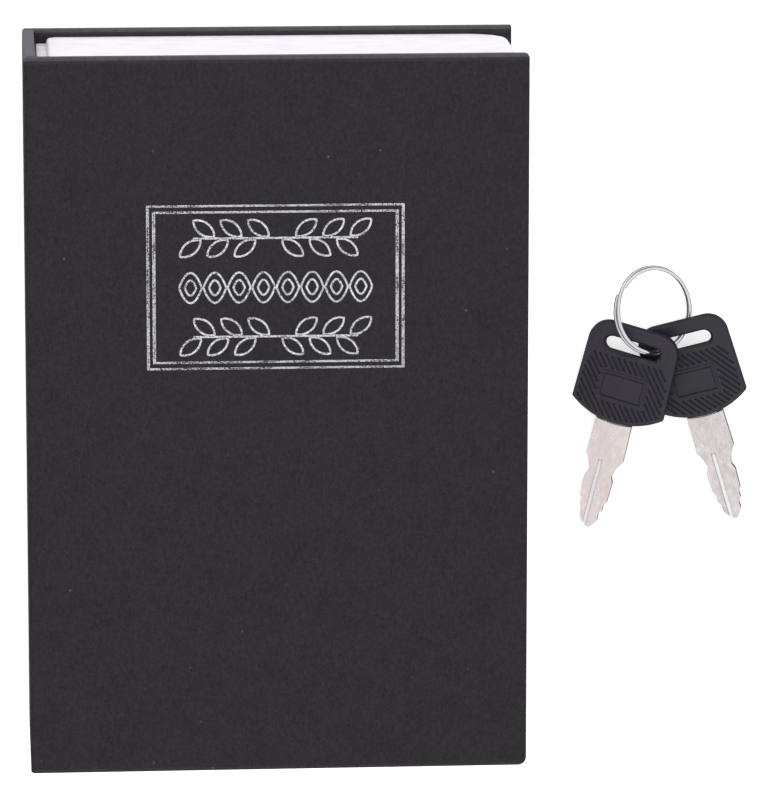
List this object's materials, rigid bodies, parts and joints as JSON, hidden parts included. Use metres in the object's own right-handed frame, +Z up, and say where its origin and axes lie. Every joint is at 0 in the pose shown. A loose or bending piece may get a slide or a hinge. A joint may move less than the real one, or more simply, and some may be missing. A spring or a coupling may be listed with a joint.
{
  "type": "book diversion safe",
  "caption": "Hardback book whose page block hides a lidded steel box with a cam lock; spine, cover and lid hinge open; keys on a split ring lie beside it.",
  "frame": {"origin": "middle of the back cover's underside, on the surface the book lies on", "axes": "+X from the spine to the fore-edge, +Y from tail to head, +Z up through the front cover"},
  "size_m": [0.1849, 0.18, 0.0551],
  "materials": {
    "book_cloth": "fine woven book cloth, matt",
    "grey_board": "bare bookbinding board",
    "endpaper": "smooth off-white paper",
    "page_plastic": "moulded, fine page lines",
    "black_steel": "powder coated sheet steel",
    "lock_chrome": "polished chrome plate",
    "wafer_brass": "stamped",
    "silver_foil": "hot stamped foil, speckled",
    "key_nickel": "nickel-plated, milled",
    "key_plastic": "moulded, ridged",
    "ring_steel": "nickel-plated spring steel",
    "zinc_plate": "zinc-plated"
  },
  "bodies": {
    "case": {"back_board": "grey_board", "back_cloth": "book_cloth", "back_endpaper": "endpaper", "page_shell": "page_plastic", "spine_filler": "page_plastic", "steel_box": "black_steel", "box_rivet_1": "zinc_plate", "box_rivet_2": "zinc_plate", "box_rivet_3": "zinc_plate", "box_rivet_4": "zinc_plate", "box_hinge_leaf": "black_steel", "hinge_pin": "zinc_plate", "box_leaf_rivet_1": "zinc_plate", "box_leaf_rivet_2": "zinc_plate", "box_leaf_rivet_3": "zinc_plate", "lock_catch": "zinc_plate", "catch_rivet_1": "zinc_plate", "catch_rivet_2": "zinc_plate"},
    "spine": {"spine_board": "grey_board", "spine_cloth": "book_cloth", "spine_lining": "endpaper"},
    "front_cover": {"front_board": "grey_board", "front_cloth": "book_cloth", "front_endpaper": "endpaper", "foil_frame_outer": "silver_foil", "foil_frame_inner": "silver_foil"},
    "lid": {"lid_plate": "black_steel", "lid_hinge_leaf": "black_steel", "lid_leaf_rivet_1": "zinc_plate", "lid_leaf_rivet_2": "zinc_plate", "lid_leaf_rivet_3": "zinc_plate", "lock_barrel": "lock_chrome", "lock_washer": "zinc_plate", "lock_nut": "zinc_plate"},
    "plug": {"lock_plug": "lock_chrome", "wafer_1": "wafer_brass", "wafer_2": "wafer_brass", "wafer_3": "wafer_brass", "wafer_4": "wafer_brass", "wafer_5": "wafer_brass", "lock_cam": "zinc_plate", "cam_washer": "zinc_plate", "cam_screw": "zinc_plate"},
    "lower_key": {"key_2_bow": "key_plastic", "key_2_blade": "key_nickel"},
    "ring": {"split_ring": "ring_steel"},
    "upper_key": {"key_1_bow": "key_plastic", "key_1_blade": "key_nickel"}
  },
  "joints": [
    {"name": "spine_fold", "type": "hinge", "parent": "case", "child": "spine", "pos_m": [-0.062, 0, 0], "axis": [0, -1, 0], "range_deg": [0, 90]},
    {"name": "cover_hinge", "type": "hinge", "parent": "spine", "child": "front_cover", "pos_m": [-0.062, 0, 0.055], "axis": [0, -1, 0], "range_deg": [0, 90]},
    {"name": "lid_hinge", "type": "hinge", "parent": "case", "child": "lid", "pos_m": [-0.0519, 0, 0.0489], "axis": [0, -1, 0], "range_deg": [0, 90]},
    {"name": "lock_turn", "type": "hinge", "parent": "lid", "child": "plug", "pos_m": [0.0362, 0, 0.04], "axis": [0, 0, -1], "range_deg": [0, 90]},
    {"name": "keys_lift", "type": "slide", "parent": "case", "child": "lower_key", "axis": [0, 0, 1], "range_m": [0, 0.15]},
    {"name": "ring_turn", "type": "hinge", "parent": "lower_key", "child": "ring", "pos_m": [0.09852, 0.01665, 0.00583], "axis": [-0.4323, -0.1116, -0.8948], "range_deg": [0, 8]},
    {"name": "key_swing", "type": "hinge", "parent": "ring", "child": "upper_key", "pos_m": [0.09852, 0.01665, 0.00583], "axis": [-0.4323, -0.1116, -0.8948], "range_deg": [0, 12]}
  ],
  "couplings": [
    {"joint": "lid_hinge", "follows": "cover_hinge", "ratio": 1}
  ]
}
